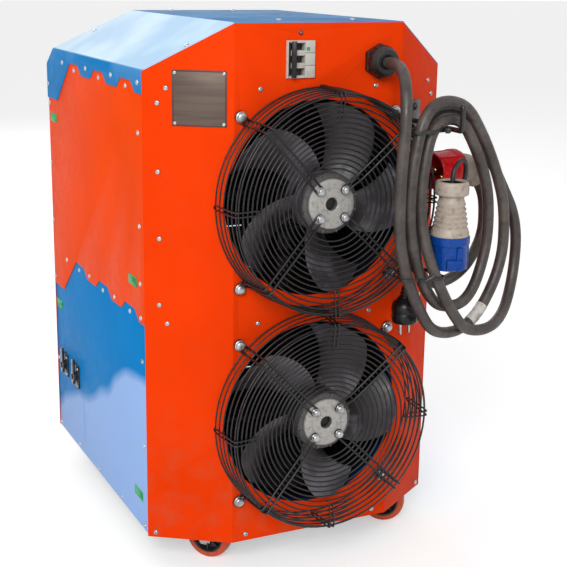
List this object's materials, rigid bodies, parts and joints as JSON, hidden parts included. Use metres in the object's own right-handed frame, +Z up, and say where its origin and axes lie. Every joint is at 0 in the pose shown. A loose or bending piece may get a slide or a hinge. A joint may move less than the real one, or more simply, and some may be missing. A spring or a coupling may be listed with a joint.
{
  "type": "car dryer blower",
  "caption": "Wheeled steel cabinet that blows warm air to dry cars, with axial fans behind wire guards, a breaker, swivel castors and a coiled supply cable with plugs.",
  "frame": {"origin": "on the floor under the middle of the machine's bounding box, cable and plugs left out", "axes": "+Z up, the front with the fan guards faces -Y, +X is to the object's right seen from its front"},
  "size_m": [0.6089, 0.7476, 0.854],
  "materials": {
    "orange_paint": "semi-gloss powder coat",
    "blue_paint": "gloss powder coat",
    "galvanised_sheet": "galvanised",
    "bright_steel": "zinc plated",
    "black_wire": "black gloss coat",
    "motor_casting": "as cast",
    "rotor_paint": "black satin",
    "white_plastic": "satin",
    "grey_plastic": "satin",
    "lamp_lens": "unlit red lens",
    "plate_metal": "etched, dull",
    "black_plastic": "satin",
    "cable_rubber": "dusty matt",
    "red_plastic": "gloss",
    "blue_plastic": "gloss",
    "pale_plastic": "satin",
    "pin_brass": "plain",
    "green_foil": "glossy foil",
    "orange_tyre": "polyurethane"
  },
  "bodies": {
    "cabinet": {"adapter_lead": "cable_rubber", "base_plate": "galvanised_sheet", "black_plug": "black_plastic", "blue_plug_body": "pale_plastic", "blue_plug_collar": "blue_plastic", "bottom_rails": "galvanised_sheet", "breaker_body": "white_plastic", "cable_gland": "black_plastic", "cable_hook": "black_wire", "castor_plates": "bright_steel", "coil_ties": "black_plastic", "contactors": "black_plastic", "control_tray": "galvanised_sheet", "corner_posts": "galvanised_sheet", "front_panel": "orange_paint", "front_screws": "bright_steel", "guard_bolts": "bright_steel", "indicator_lamp": "lamp_lens", "latch_bases": "bright_steel", "left_lower_panel": "blue_paint", "left_upper_panel": "orange_paint", "lower_fan_guard": "black_wire", "lower_fan_motor": "motor_casting", "lower_fan_ring": "blue_paint", "lower_heater_bank": "bright_steel", "motor_bolts": "bright_steel", "nameplate": "plate_metal", "panel_screws": "bright_steel", "plug_pins": "pin_brass", "power_coil": "cable_rubber", "power_lead": "cable_rubber", "rear_louvres": "blue_paint", "rear_panel": "orange_paint", "red_plug_body": "pale_plastic", "red_plug_collar": "red_plastic", "right_lower_panel": "blue_paint", "right_upper_panel": "orange_paint", "roof_cover": "blue_paint", "seal_labels": "green_foil", "upper_fan_guard": "black_wire", "upper_fan_motor": "motor_casting", "upper_fan_ring": "blue_paint", "upper_heater_bank": "bright_steel"},
    "upper_fan": {"upper_fan_rotor": "rotor_paint"},
    "lower_fan": {"lower_fan_rotor": "rotor_paint"},
    "breaker_toggle": {"breaker_levers": "grey_plastic"},
    "front_latch": {"front_latch_lever": "black_plastic"},
    "rear_latch": {"rear_latch_lever": "black_plastic"},
    "front_left_castor": {"front_left_castor_fork": "bright_steel"},
    "front_left_wheel": {"front_left_castor_tyre": "orange_tyre", "front_left_castor_hub": "black_plastic"},
    "front_right_castor": {"front_right_castor_fork": "bright_steel"},
    "front_right_wheel": {"front_right_castor_tyre": "orange_tyre", "front_right_castor_hub": "black_plastic"},
    "rear_left_castor": {"rear_left_castor_fork": "bright_steel"},
    "rear_left_wheel": {"rear_left_castor_tyre": "orange_tyre", "rear_left_castor_hub": "black_plastic"},
    "rear_right_castor": {"rear_right_castor_fork": "bright_steel"},
    "rear_right_wheel": {"rear_right_castor_tyre": "orange_tyre", "rear_right_castor_hub": "black_plastic"}
  },
  "joints": [
    {"name": "upper_fan_spin", "type": "hinge", "parent": "cabinet", "child": "upper_fan", "pos_m": [0.0034, -0.2462, 0.5935], "axis": [0, 1, 0], "continuous": true},
    {"name": "lower_fan_spin", "type": "hinge", "parent": "cabinet", "child": "lower_fan", "pos_m": [0.0034, -0.2462, 0.2515], "axis": [0, 1, 0], "continuous": true},
    {"name": "front_left_swivel", "type": "hinge", "parent": "cabinet", "child": "front_left_castor", "pos_m": [-0.1576, -0.1522, 0.084], "axis": [0, 0, 1], "continuous": true},
    {"name": "front_left_roll", "type": "hinge", "parent": "front_left_castor", "child": "front_left_wheel", "pos_m": [-0.1412, -0.17107, 0.0375], "axis": [0.7547, 0.6561, 0], "continuous": true},
    {"name": "front_right_swivel", "type": "hinge", "parent": "cabinet", "child": "front_right_castor", "pos_m": [0.1644, -0.1522, 0.084], "axis": [0, 0, 1], "continuous": true},
    {"name": "front_right_roll", "type": "hinge", "parent": "front_right_castor", "child": "front_right_wheel", "pos_m": [0.1841, -0.16759, 0.0375], "axis": [0.6157, 0.788, 0], "continuous": true},
    {"name": "rear_left_swivel", "type": "hinge", "parent": "cabinet", "child": "rear_left_castor", "pos_m": [-0.1576, 0.2658, 0.084], "axis": [0, 0, 1], "continuous": true},
    {"name": "rear_left_roll", "type": "hinge", "parent": "rear_left_castor", "child": "rear_left_wheel", "pos_m": [-0.14326, 0.24532, 0.0375], "axis": [0.8192, 0.5736, 0], "continuous": true},
    {"name": "rear_right_swivel", "type": "hinge", "parent": "cabinet", "child": "rear_right_castor", "pos_m": [0.1644, 0.2658, 0.084], "axis": [0, 0, 1], "continuous": true},
    {"name": "rear_right_roll", "type": "hinge", "parent": "rear_right_castor", "child": "rear_right_wheel", "pos_m": [0.18238, 0.24843, 0.0375], "axis": [0.6947, 0.7193, 0], "continuous": true},
    {"name": "breaker_switch", "type": "hinge", "parent": "cabinet", "child": "breaker_toggle", "pos_m": [-0.0346, -0.2402, 0.801], "axis": [0, 0, 1], "range_deg": [0, 64]},
    {"name": "front_latch_turn", "type": "hinge", "parent": "cabinet", "child": "front_latch", "pos_m": [-0.2506, 0.2258, 0.195], "axis": [1, 0, 0], "range_deg": [0, 90]},
    {"name": "rear_latch_turn", "type": "hinge", "parent": "cabinet", "child": "rear_latch", "pos_m": [-0.2506, 0.2988, 0.195], "axis": [1, 0, 0], "range_deg": [0, 90]}
  ]
}
